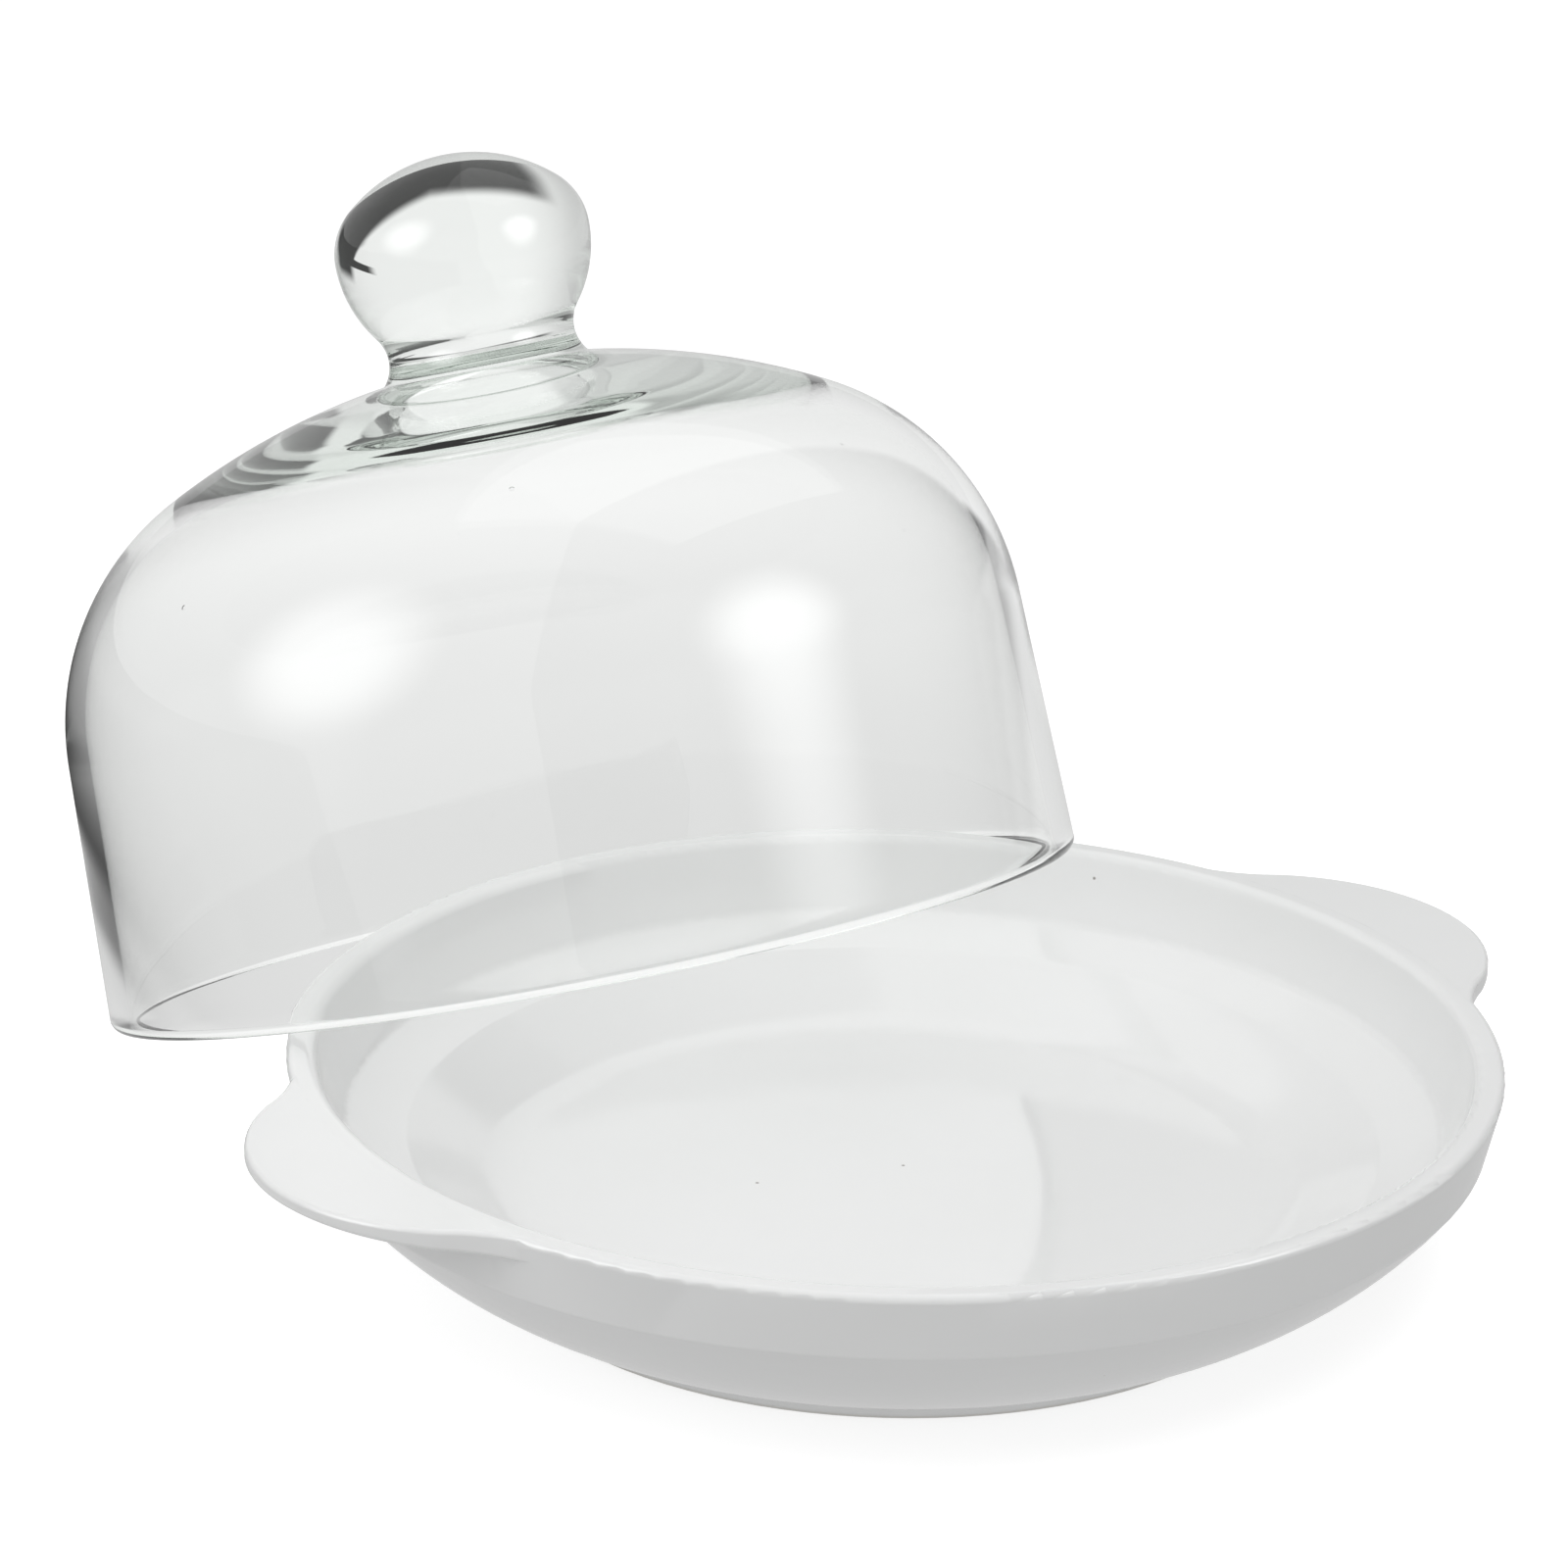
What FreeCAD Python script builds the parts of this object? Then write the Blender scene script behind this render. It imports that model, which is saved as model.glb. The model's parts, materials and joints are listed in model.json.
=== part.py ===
"""Cheese dome: a porcelain dish with two lug handles and a glass bell with a solid glass knob.

Everything is in millimetres, with +Z up and the origin at the centre of the dish's foot, on the
surface it stands on. The handles lie along X. The bell leans beside the dish towards +Y: its rim
lies across the dish's lip and its far side stands on the same surface as the foot.
"""
import FreeCAD, Part

import math
import os

import Sketcher

SHEET = "Dimensions"

DRIVING_DIMENSIONS = {
    # dish
    "rim_radius": 110.0,          # outside of the lip
    "dish_height": 40.0,          # top of the lip above the table
    "lip_width": 5.5,             # across the flat top of the lip and its two rounds
    "lip_edge": 1.3,              # round outside the lip, quite sharp
    "lip_round": 2.2,             # round inside the lip
    "crease_radius": 107.5,       # the outer wall turns in below this line
    "crease_height": 27.5,
    "bowl_curve": 72.0,           # radius of the bowl's outer curve below the crease
    "foot_radius": 73.6,          # outside of the foot ring where it touches the table
    "foot_land": 3.6,             # width of the foot ring's flat land
    "foot_draft": 1.0,            # how far each side of the foot ring slopes
    "foot_height": 2.5,           # height of the foot ring outside
    "foot_recess": 6.0,           # underside of the floor above the table
    "floor_radius": 72.0,
    "floor_height": 12.5,
    "floor_cove": 14.0,           # radius between the floor and the wall
    "seat_outer_radius": 99.5,    # the sloping seat that centres the bell's rim
    "seat_outer_height": 26.0,
    "seat_inner_radius": 88.5,
    "seat_inner_height": 22.5,
    "seat_round": 3.0,
    "lip_inner_radius": 103.2,    # inside wall just under the lip
    "lip_inner_height": 33.0,
    "crease_round": 1.5,
    # lug handles
    "lug_reach": 127.5,           # from the dish's axis to the tip of a lug
    "lug_tip_curve": 39.0,
    "lug_corner": 11.0,
    "lug_half_width": 33.0,
    "lug_flare": 29.0,            # hollow curve where a lug leaves the rim
    "lug_root_radius": 109.3,
    "lug_core_radius": 107.2,
    "lug_thickness": 4.8,         # at the rim
    "lug_end_thickness": 2.2,     # where the underside's slope would end, just past the tip
    "lug_end_reach": 130.0,
    "lug_drop": 0.05,             # top of a lug below the top of the lip
    "lug_edge": 0.9,
    # bell
    "bell_radius": 95.0,          # outside of the bell at its rim
    "bell_height": 113.0,         # rim to crown, outside
    "bell_wall": 4.0,
    "wall_lean": 2.0,             # degrees that the wall leans in
    "shoulder_radius": 54.0,
    "crown_radius": 139.5,
    "crown_thickness": 11.0,      # the crown is thick in the middle, under the knob
    "inner_shoulder_radius": 48.0,
    "inner_crown_radius": 340.0,
    # knob
    "knob_radius": 24.8,
    "knob_centre_height": 135.8,  # above the bell's rim
    "knob_top_curve": 31.0,
    "knob_side_curve": 13.0,
    "neck_radius": 18.2,
    "neck_curve": 7.3,
    # how the bell leans
    "lean_angle": 19.0,           # degrees from upright
    "lean_direction": 95.0,       # degrees from +X, seen from above
    "lean_reach": 92.5,           # dish axis to the middle of the bell's rim
    "rest_gap": 0.3,              # between the bell and the table
}


def make_sheet(doc):
    """Put the driving dimensions in a spreadsheet, one alias to each row."""
    sheet = doc.addObject("Spreadsheet::Sheet", SHEET)
    for row, (name, value) in enumerate(DRIVING_DIMENSIONS.items(), start=1):
        sheet.set(f"A{row}", name)
        sheet.set(f"B{row}", str(value))
        sheet.setAlias(f"B{row}", name)
    doc.recompute()
    return sheet


def cell(name):
    """Return the expression that reads one driving dimension."""
    return f"{SHEET}.{name}"


class Outline:
    """A sketch whose lines and arcs are drawn near their place and then fixed by constraints."""

    AXIS_X, AXIS_Y = -1, -2
    START, END, CENTRE = 1, 2, 3

    def __init__(self, body, name, plane_role):
        self.sketch = body.newObject("Sketcher::SketchObject", name)
        plane = next(p for p in body.Origin.OriginFeatures if p.Role == plane_role)
        self.sketch.AttachmentSupport = [(plane, "")]
        self.sketch.MapMode = "FlatFace"
        self.count = 0

    def line(self, start, end):
        """Add a line and return its number."""
        return self.sketch.addGeometry(Part.LineSegment(vec(start), vec(end)), False)

    def arc(self, centre, radius, start_deg, end_deg):
        """Add an arc that runs counter-clockwise and return its number."""
        circle = Part.Circle(vec(centre), FreeCAD.Vector(0, 0, 1), radius)
        start, end = math.radians(start_deg), math.radians(end_deg)
        return self.sketch.addGeometry(Part.ArcOfCircle(circle, start, end), False)

    def circle(self, centre, radius):
        """Add a whole circle and return its number."""
        return self.sketch.addGeometry(Part.Circle(vec(centre), FreeCAD.Vector(0, 0, 1), radius), False)

    def fix(self, kind, *where):
        """Add a constraint with no size."""
        self.sketch.addConstraint(Sketcher.Constraint(kind, *where))

    def size(self, kind, where, value, expression):
        """Add a constraint whose size is bound to the spreadsheet."""
        number = self.sketch.addConstraint(Sketcher.Constraint(kind, *where, value))
        self.count += 1
        name = f"size_{self.count}"
        self.sketch.renameConstraint(number, name)
        self.sketch.setExpression(f"Constraints.{name}", expression)

    def place(self, geometry, point, x, y):
        """Fix a point's two coordinates. Each is a pair: its value and its expression."""
        for kind, (value, expression) in (("DistanceX", x), ("DistanceY", y)):
            if expression == "0":
                axis = self.AXIS_Y if kind == "DistanceX" else self.AXIS_X
                self.fix("PointOnObject", geometry, point, axis)
            else:
                self.size(kind, (self.AXIS_X, 1, geometry, point), value, expression)


def vec(point):
    """Turn a pair of numbers into a vector on the sketch plane."""
    return FreeCAD.Vector(point[0], point[1], 0)


def revolve(body, outline, name):
    """Turn a closed outline right round the vertical axis."""
    feature = body.newObject("PartDesign::Revolution", name)
    feature.Profile = outline.sketch
    feature.ReferenceAxis = (outline.sketch, ["V_Axis"])
    feature.Angle = 360.0
    return feature


def fillet(body, base, name, edges, radius_expression):
    """Round the named edges of a feature."""
    feature = body.newObject("PartDesign::Fillet", name)
    feature.Base = (base, edges)
    feature.setExpression("Radius", radius_expression)
    return feature


def ring_edges(shape, radius, height):
    """Name the circular edges of a shape that lie at one radius and height."""
    names = []
    for number, edge in enumerate(shape.Edges, start=1):
        curve = edge.Curve
        if not isinstance(curve, Part.Circle):
            continue
        on_axis = math.hypot(curve.Center.x, curve.Center.y) < 0.01
        if on_axis and abs(curve.Radius - radius) < 0.2 and abs(curve.Center.z - height) < 0.2:
            names.append(f"Edge{number}")
    return names


# ---------------------------------------------------------------- glass bell

def shoulder_centre(wall_point, lean_deg, shoulder, crown, crown_centre_height):
    """Find the centre of a shoulder arc that touches a leaning wall and a crown arc.

    The crown's centre is on the axis. Returns the centre's radius and height.
    """
    lean = math.radians(lean_deg)
    start_x = wall_point[0] - shoulder * math.cos(lean)
    start_y = wall_point[1] - shoulder * math.sin(lean) - crown_centre_height
    along_x, along_y = -math.sin(lean), math.cos(lean)
    half_b = start_x * along_x + start_y * along_y
    c_term = start_x ** 2 + start_y ** 2 - (crown - shoulder) ** 2
    run = -half_b + math.sqrt(half_b ** 2 - c_term)
    return start_x + run * along_x, start_y + run * along_y + crown_centre_height


def build_bell(doc, dim):
    """Build the hollow glass bell, standing on its rim at the origin."""
    body = doc.addObject("PartDesign::Body", "glass_bell")
    section = Outline(body, "bell_section", "XZ_Plane")
    lean = dim["wall_lean"]
    wall = dim["bell_wall"]
    bead = (dim["bell_radius"] - wall / 2, wall / 2)
    lean_x, lean_y = math.cos(math.radians(lean)), math.sin(math.radians(lean))

    def side(offset, shoulder, crown, apex):
        """Work out one side of the glass: wall foot, shoulder centre, crown centre, meeting angle."""
        foot = (bead[0] + offset * lean_x, bead[1] + offset * lean_y)
        middle = shoulder_centre(foot, lean, shoulder, crown, apex - crown)
        angle = math.degrees(math.atan2(middle[1] - (apex - crown), middle[0]))
        top = (middle[0] + shoulder * lean_x, middle[1] + shoulder * lean_y)
        return foot, top, middle, angle

    crown, shoulder = dim["crown_radius"], dim["shoulder_radius"]
    in_crown, in_shoulder = dim["inner_crown_radius"], dim["inner_shoulder_radius"]
    apex = dim["bell_height"]
    in_apex = apex - dim["crown_thickness"]
    foot, top, middle, angle = side(wall / 2, shoulder, crown, apex)
    in_foot, in_top, in_middle, in_angle = side(-wall / 2, in_shoulder, in_crown, in_apex)

    outer_wall = section.line(foot, top)
    outer_shoulder = section.arc(middle, shoulder, lean, angle)
    outer_crown = section.arc((0, apex - crown), crown, angle, 90)
    axis_line = section.line((0, apex), (0, in_apex))
    inner_crown = section.arc((0, in_apex - in_crown), in_crown, in_angle, 90)
    inner_shoulder = section.arc(in_middle, in_shoulder, lean, in_angle)
    inner_wall = section.line(in_top, in_foot)
    rim_bead = section.arc(bead, wall / 2, 180 + lean, 360 + lean)

    start, end, centre = Outline.START, Outline.END, Outline.CENTRE
    section.fix("Tangent", outer_wall, end, outer_shoulder, start)
    section.fix("Tangent", outer_shoulder, end, outer_crown, start)
    section.fix("Coincident", outer_crown, end, axis_line, start)
    section.fix("Coincident", axis_line, end, inner_crown, end)
    section.fix("Tangent", inner_crown, start, inner_shoulder, end)
    section.fix("Tangent", inner_shoulder, start, inner_wall, start)
    section.fix("Tangent", inner_wall, end, rim_bead, start)
    section.fix("Tangent", rim_bead, end, outer_wall, start)
    section.fix("PointOnObject", outer_crown, centre, Outline.AXIS_Y)
    section.fix("PointOnObject", inner_crown, centre, Outline.AXIS_Y)
    section.size("Radius", (outer_shoulder,), shoulder, cell("shoulder_radius"))
    section.size("Radius", (outer_crown,), crown, cell("crown_radius"))
    section.size("Radius", (inner_crown,), in_crown, cell("inner_crown_radius"))
    section.size("Radius", (inner_shoulder,), in_shoulder, cell("inner_shoulder_radius"))
    section.size("Radius", (rim_bead,), wall / 2, cell("bell_wall") + " / 2")
    section.size("Angle", (outer_wall,), math.radians(90 + lean), f"90 deg + {cell('wall_lean')} * 1 deg")
    section.place(axis_line, start, (0, "0"), (apex, cell("bell_height")))
    section.place(axis_line, end, (0, "0"), (in_apex, f"{cell('bell_height')} - {cell('crown_thickness')}"))
    section.place(rim_bead, centre, (bead[0], f"{cell('bell_radius')} - {cell('bell_wall')} / 2"),
                  (bead[1], cell("bell_wall") + " / 2"))
    revolve(body, section, "bell_turned")
    return body


# ---------------------------------------------------------------- glass knob

def build_knob(doc, dim):
    """Build the solid knob, with its underside hollowed to sit on the bell's crown."""
    body = doc.addObject("PartDesign::Body", "glass_knob")
    section = Outline(body, "knob_section", "XZ_Plane")
    ball, side, top = dim["knob_radius"], dim["knob_side_curve"], dim["knob_top_curve"]
    middle = dim["knob_centre_height"]
    neck, crown = dim["neck_curve"], dim["crown_radius"]
    apex = dim["bell_height"]

    side_x = ball - side
    top_y = middle - math.sqrt((top - side) ** 2 - side_x ** 2)
    top_angle = math.degrees(math.atan2(middle - top_y, side_x))
    neck_x = dim["neck_radius"] + neck
    neck_y = middle - math.sqrt((ball + neck) ** 2 - neck_x ** 2)
    neck_angle = math.degrees(math.atan2(middle - neck_y, neck_x))
    crown_y = apex - crown
    to_neck = math.hypot(neck_x, neck_y - crown_y)
    at_crown = math.acos((to_neck ** 2 + crown ** 2 - neck ** 2) / (2 * to_neck * crown))
    foot_angle = math.atan2(neck_y - crown_y, neck_x) + at_crown
    foot = (crown * math.cos(foot_angle), crown_y + crown * math.sin(foot_angle))
    foot_turn = math.degrees(math.atan2(foot[1] - neck_y, foot[0] - neck_x)) % 360

    cap = section.arc((0, top_y), top, top_angle, 90)
    cheek = section.arc((side_x, middle), side, 0, top_angle)
    under = section.arc((0, middle), ball, -neck_angle, 0)
    throat = section.arc((neck_x, neck_y), neck, 180 - neck_angle, foot_turn)
    base = section.arc((0, crown_y), crown, math.degrees(foot_angle), 90)
    axis_line = section.line((0, apex), (0, top_y + top))

    start, end, centre = Outline.START, Outline.END, Outline.CENTRE
    section.fix("Tangent", cap, start, cheek, end)
    section.fix("Tangent", cheek, start, under, end)
    section.fix("Tangent", under, start, throat, start)
    section.fix("Coincident", throat, end, base, start)
    section.fix("Coincident", base, end, axis_line, start)
    section.fix("Coincident", axis_line, end, cap, end)
    section.fix("PointOnObject", axis_line, end, Outline.AXIS_Y)
    for curve in (cap, base):
        section.fix("PointOnObject", curve, centre, Outline.AXIS_Y)
    section.fix("Horizontal", under, centre, under, end)
    section.size("Radius", (cap,), top, cell("knob_top_curve"))
    section.size("Radius", (cheek,), side, cell("knob_side_curve"))
    section.size("Radius", (under,), ball, cell("knob_radius"))
    section.size("Radius", (throat,), neck, cell("neck_curve"))
    section.size("Radius", (base,), crown, cell("crown_radius"))
    section.place(under, centre, (0, "0"), (middle, cell("knob_centre_height")))
    section.place(axis_line, start, (0, "0"), (apex, cell("bell_height")))
    section.size("DistanceX", (Outline.AXIS_X, 1, throat, centre), neck_x,
                 f"{cell('neck_radius')} + {cell('neck_curve')}")
    revolve(body, section, "knob_turned")
    return body


# ---------------------------------------------------------------- porcelain dish

def draw_lug_ring(body, dim):
    """Draw the flat ring with a lug at each end of X, one quarter at a time."""
    plate = Outline(body, "lug_outline", "XY_Plane")
    height = [cell("dish_height"), cell("lug_drop"), cell("lug_thickness")]
    plate.sketch.setExpression("AttachmentOffset.Base.z", " - ".join(height))
    tip, corner, flare = dim["lug_tip_curve"], dim["lug_corner"], dim["lug_flare"]
    root, reach = dim["lug_root_radius"], dim["lug_reach"]
    tip_x = reach - tip
    corner_y = dim["lug_half_width"] - corner
    corner_x = tip_x + math.sqrt((tip - corner) ** 2 - corner_y ** 2)
    corner_turn = math.degrees(math.atan2(corner_y, corner_x - tip_x))
    to_corner = math.hypot(corner_x, corner_y)
    to_flare = root + flare
    apart = corner + flare
    between = math.acos((to_corner ** 2 + to_flare ** 2 - apart ** 2) / (2 * to_corner * to_flare))
    flare_turn = math.degrees(math.atan2(corner_y, corner_x) + between)
    flare_x = to_flare * math.cos(math.radians(flare_turn))
    flare_y = to_flare * math.sin(math.radians(flare_turn))
    meet_turn = math.degrees(math.atan2(flare_y - corner_y, flare_x - corner_x))

    start, end, centre = Outline.START, Outline.END, Outline.CENTRE
    tips, corners, flares = {}, {}, {}
    for side in (1, -1):
        middle = 0 if side == 1 else 180
        tips[side] = plate.arc((side * tip_x, 0), tip, middle - corner_turn, middle + corner_turn)
        plate.size("Radius", (tips[side],), tip, cell("lug_tip_curve"))
        plate.fix("PointOnObject", tips[side], centre, Outline.AXIS_X)
        axis_to_tip = (Outline.AXIS_X, 1, tips[side], centre)
        tip_to_axis = (tips[side], centre, Outline.AXIS_X, 1)
        plate.size("DistanceX", axis_to_tip if side == 1 else tip_to_axis, tip_x,
                   f"{cell('lug_reach')} - {cell('lug_tip_curve')}")
        for half in (1, -1):
            key = (side, half)
            turned = side * half == 1

            def sweep(low, high):
                """Mirror a first-quarter arc's angles into this quarter."""
                if side == -1:
                    low, high = 180 - high, 180 - low
                return (low, high) if half == 1 else (-high, -low)

            corners[key] = plate.arc((side * corner_x, half * corner_y), corner,
                                     *sweep(corner_turn, meet_turn))
            flares[key] = plate.arc((side * flare_x, half * flare_y), flare,
                                    *sweep(180 + flare_turn, 180 + meet_turn))
            plate.size("Radius", (corners[key],), corner, cell("lug_corner"))
            plate.size("Radius", (flares[key],), flare, cell("lug_flare"))
            axis_to_corner = (Outline.AXIS_X, 1, corners[key], centre)
            corner_to_axis = (corners[key], centre, Outline.AXIS_X, 1)
            plate.size("DistanceY", axis_to_corner if half == 1 else corner_to_axis, corner_y,
                       f"{cell('lug_half_width')} - {cell('lug_corner')}")
            near, far = (start, end) if turned else (end, start)
            plate.fix("Tangent", tips[side], end if turned else start, corners[key], near)
            plate.fix("Tangent", corners[key], far, flares[key], far)
    for half in (1, -1):
        opposite = 0 if half == 1 else 180
        rim = plate.arc((0, 0), root, opposite + flare_turn, opposite + 180 - flare_turn)
        plate.size("Radius", (rim,), root, cell("lug_root_radius"))
        plate.fix("Coincident", rim, centre, Outline.AXIS_X, 1)
        plate.fix("Tangent", rim, start, flares[(half, half)], start)
        plate.fix("Tangent", rim, end, flares[(-half, half)], end)
    core = plate.circle((0, 0), dim["lug_core_radius"])
    plate.fix("Coincident", core, centre, Outline.AXIS_X, 1)
    plate.size("Radius", (core,), dim["lug_core_radius"], cell("lug_core_radius"))
    return plate


def draw_dish_section(body, dim):
    """Draw the dish's wall, floor and foot as one closed section beside the axis."""
    section = Outline(body, "dish_section", "XZ_Plane")
    edge, soft = dim["lip_edge"], dim["lip_round"]
    edge_centre = (dim["rim_radius"] - edge, dim["dish_height"] - edge)
    soft_centre = (dim["rim_radius"] - dim["lip_width"] + soft, dim["dish_height"] - soft)
    value = dict(dim)
    value["foot_inner"] = dim["foot_radius"] - dim["foot_land"]
    value["recess_radius"] = value["foot_inner"] - dim["foot_draft"]
    value["foot_top_radius"] = dim["foot_radius"] + dim["foot_draft"]
    expression = {name: cell(name) for name in dim}
    expression["foot_inner"] = f"{cell('foot_radius')} - {cell('foot_land')}"
    expression["recess_radius"] = f"{expression['foot_inner']} - {cell('foot_draft')}"
    expression["foot_top_radius"] = f"{cell('foot_radius')} + {cell('foot_draft')}"
    value["zero"], expression["zero"] = 0.0, "0"

    under_run = [("zero", "foot_recess"), ("recess_radius", "foot_recess"), ("foot_inner", "zero"),
                 ("foot_radius", "zero"), ("foot_top_radius", "foot_height")]
    inside_run = [("lip_inner_radius", "lip_inner_height"), ("seat_outer_radius", "seat_outer_height"),
                  ("seat_inner_radius", "seat_inner_height"), ("floor_radius", "floor_height"),
                  ("zero", "floor_height")]
    start, end, centre = Outline.START, Outline.END, Outline.CENTRE

    def run(corners):
        """Join named corners with lines, and fix each corner's place."""
        spots = [(value[x], value[y]) for x, y in corners]
        lines = [section.line(a, b) for a, b in zip(spots, spots[1:])]
        for first, second in zip(lines, lines[1:]):
            section.fix("Coincident", first, end, second, start)
        for number, (x, y) in enumerate(corners):
            owner, point = (lines[number], start) if number < len(lines) else (lines[-1], end)
            section.place(owner, point, (value[x], expression[x]), (value[y], expression[y]))
        return lines

    under = run(under_run)
    inside = run(inside_run)
    axis_line = section.line((0, value["floor_height"]), (0, value["foot_recess"]))
    section.fix("Coincident", inside[-1], end, axis_line, start)
    section.fix("Coincident", axis_line, end, under[0], start)

    foot = (value["foot_top_radius"], value["foot_height"])
    crease = (dim["crease_radius"], dim["crease_height"])
    curve = dim["bowl_curve"]
    span = math.dist(foot, crease)
    offset = math.sqrt(curve ** 2 - span ** 2 / 4)
    across = ((foot[1] - crease[1]) / span, (crease[0] - foot[0]) / span)
    middle = ((foot[0] + crease[0]) / 2 + across[0] * offset,
              (foot[1] + crease[1]) / 2 + across[1] * offset)

    def turn(point):
        """Give a point's angle about the bowl curve's centre."""
        return math.degrees(math.atan2(point[1] - middle[1], point[0] - middle[0]))

    bowl = section.arc(middle, curve, turn(foot), turn(crease))
    section.fix("Coincident", under[-1], end, bowl, start)
    section.size("Radius", (bowl,), curve, cell("bowl_curve"))
    section.place(bowl, end, (crease[0], cell("crease_radius")), (crease[1], cell("crease_height")))

    def touching_turn(point, middle, radius, leading):
        """Find where a line from a point touches a round, as an angle."""
        to_point = math.atan2(point[1] - middle[1], point[0] - middle[0])
        swing = math.acos(radius / math.dist(point, middle))
        return math.degrees(to_point + swing * leading)

    def on_round(middle, radius, angle):
        """Give the point of a round at an angle."""
        turned = math.radians(angle)
        return middle[0] + radius * math.cos(turned), middle[1] + radius * math.sin(turned)

    inner_wall = (value["lip_inner_radius"], value["lip_inner_height"])
    outer_turn = touching_turn(crease, edge_centre, edge, 1)
    inner_turn = touching_turn(inner_wall, soft_centre, soft, -1) % 360
    outer_band = section.line(crease, on_round(edge_centre, edge, outer_turn))
    lip_edge = section.arc(edge_centre, edge, outer_turn, 90)
    lip_top = section.line(on_round(edge_centre, edge, 90), on_round(soft_centre, soft, 90))
    lip_round = section.arc(soft_centre, soft, 90, inner_turn)
    inner_band = section.line(on_round(soft_centre, soft, inner_turn), inner_wall)
    section.fix("Coincident", bowl, end, outer_band, start)
    for first, second in ((outer_band, lip_edge), (lip_edge, lip_top), (lip_top, lip_round),
                          (lip_round, inner_band)):
        section.fix("Tangent", first, end, second, start)
    section.fix("Coincident", inner_band, end, inside[0], start)
    section.size("Radius", (lip_edge,), edge, cell("lip_edge"))
    section.size("Radius", (lip_round,), soft, cell("lip_round"))
    section.place(lip_edge, centre,
                  (edge_centre[0], f"{cell('rim_radius')} - {cell('lip_edge')}"),
                  (edge_centre[1], f"{cell('dish_height')} - {cell('lip_edge')}"))
    section.place(lip_round, centre,
                  (soft_centre[0], f"{cell('rim_radius')} - {cell('lip_width')} + {cell('lip_round')}"),
                  (soft_centre[1], f"{cell('dish_height')} - {cell('lip_round')}"))
    return section


def draw_lug_underside(body, dim):
    """Draw the wedge that is turned away under the lugs, so that they thin towards their tips."""
    wedge = Outline(body, "lug_underside_section", "XZ_Plane")
    top = dim["dish_height"] - dim["lug_drop"]
    low, high = top - dim["lug_thickness"], top - dim["lug_end_thickness"]
    low_text = " - ".join([cell("dish_height"), cell("lug_drop"), cell("lug_thickness")])
    high_text = " - ".join([cell("dish_height"), cell("lug_drop"), cell("lug_end_thickness")])
    near, far = dim["lug_core_radius"], dim["lug_end_reach"]
    corners = [(near, low), (far, high), (far, low)]
    sides = [wedge.line(corners[number], corners[(number + 1) % 3]) for number in range(3)]
    for number in range(3):
        wedge.fix("Coincident", sides[number], Outline.END, sides[(number + 1) % 3], Outline.START)
    texts = [(cell("lug_core_radius"), low_text), (cell("lug_end_reach"), high_text),
             (cell("lug_end_reach"), low_text)]
    for number, (x_text, y_text) in enumerate(texts):
        x, y = corners[number]
        wedge.place(sides[number], Outline.START, (x, x_text), (y, y_text))
    return wedge


def lug_edge_names(shape, dim):
    """Name the edges round the lug ring's outline, above and below, which are rounded."""
    names = []
    for number, edge in enumerate(shape.Edges, start=1):
        curve = edge.Curve
        straight = isinstance(curve, Part.Line)
        core = isinstance(curve, Part.Circle) and abs(curve.Radius - dim["lug_core_radius"]) < 0.01
        if not straight and not core:
            names.append(f"Edge{number}")
    return names


def build_dish(doc, dim):
    """Build the dish: a ring with two lugs, with the bowl turned around it in the same casting."""
    body = doc.addObject("PartDesign::Body", "porcelain_dish")
    plate = draw_lug_ring(body, dim)
    pad = body.newObject("PartDesign::Pad", "lug_ring")
    pad.Profile = plate.sketch
    pad.setExpression("Length", cell("lug_thickness"))
    doc.recompute()
    wedge = draw_lug_underside(body, dim)
    thinned = body.newObject("PartDesign::Groove", "lug_underside")
    thinned.Profile = wedge.sketch
    thinned.ReferenceAxis = (wedge.sketch, ["V_Axis"])
    thinned.Angle = 360.0
    doc.recompute()
    if thinned.Shape.Volume >= pad.Shape.Volume:
        raise RuntimeError("the underside of the lugs isn't cut")
    fillet(body, thinned, "lug_edges", lug_edge_names(thinned.Shape, dim), cell("lug_edge"))
    doc.recompute()
    section = draw_dish_section(body, dim)
    latest = revolve(body, section, "bowl_turned")
    doc.recompute()
    for name, radius, height, size in (
            ("floor_cove", "floor_radius", "floor_height", "floor_cove"),
            ("seat_edge", "seat_inner_radius", "seat_inner_height", "seat_round"),
            ("seat_corner", "seat_outer_radius", "seat_outer_height", "seat_round"),
            ("outer_crease", "crease_radius", "crease_height", "crease_round")):
        edges = ring_edges(latest.Shape, dim[radius], dim[height])
        latest = fillet(body, latest, name, edges, cell(size))
        doc.recompute()
    return body


# ---------------------------------------------------------------- the assembly

def leaning_placement(dim):
    """Place the bell so that it lies across the dish's lip and stands on its far edge."""
    lean = math.radians(dim["lean_angle"])
    direction = math.radians(dim["lean_direction"])
    bead = dim["bell_wall"] / 2
    bead_radius = dim["bell_radius"] - bead
    height = dim["rest_gap"] + bead + bead_radius * math.sin(lean) - bead * math.cos(lean)
    across = FreeCAD.Vector(-math.sin(direction), math.cos(direction), 0)
    reach = dim["lean_reach"]
    base = FreeCAD.Vector(reach * math.cos(direction), reach * math.sin(direction), height)
    return FreeCAD.Placement(base, FreeCAD.Rotation(across, dim["lean_angle"]))


def check_document(doc, bodies):
    """Stop if any feature failed or any piece is not one valid solid."""
    for item in doc.Objects:
        if "Invalid" in item.State or "Error" in item.State:
            raise RuntimeError(f"{item.Label} failed: {item.State}")
    for body in bodies:
        shape = body.Shape
        if shape.isNull() or not shape.isValid():
            raise RuntimeError(f"{body.Label} has no valid shape")
        if len(shape.Solids) != 1:
            raise RuntimeError(f"{body.Label} is {len(shape.Solids)} solids")


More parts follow.
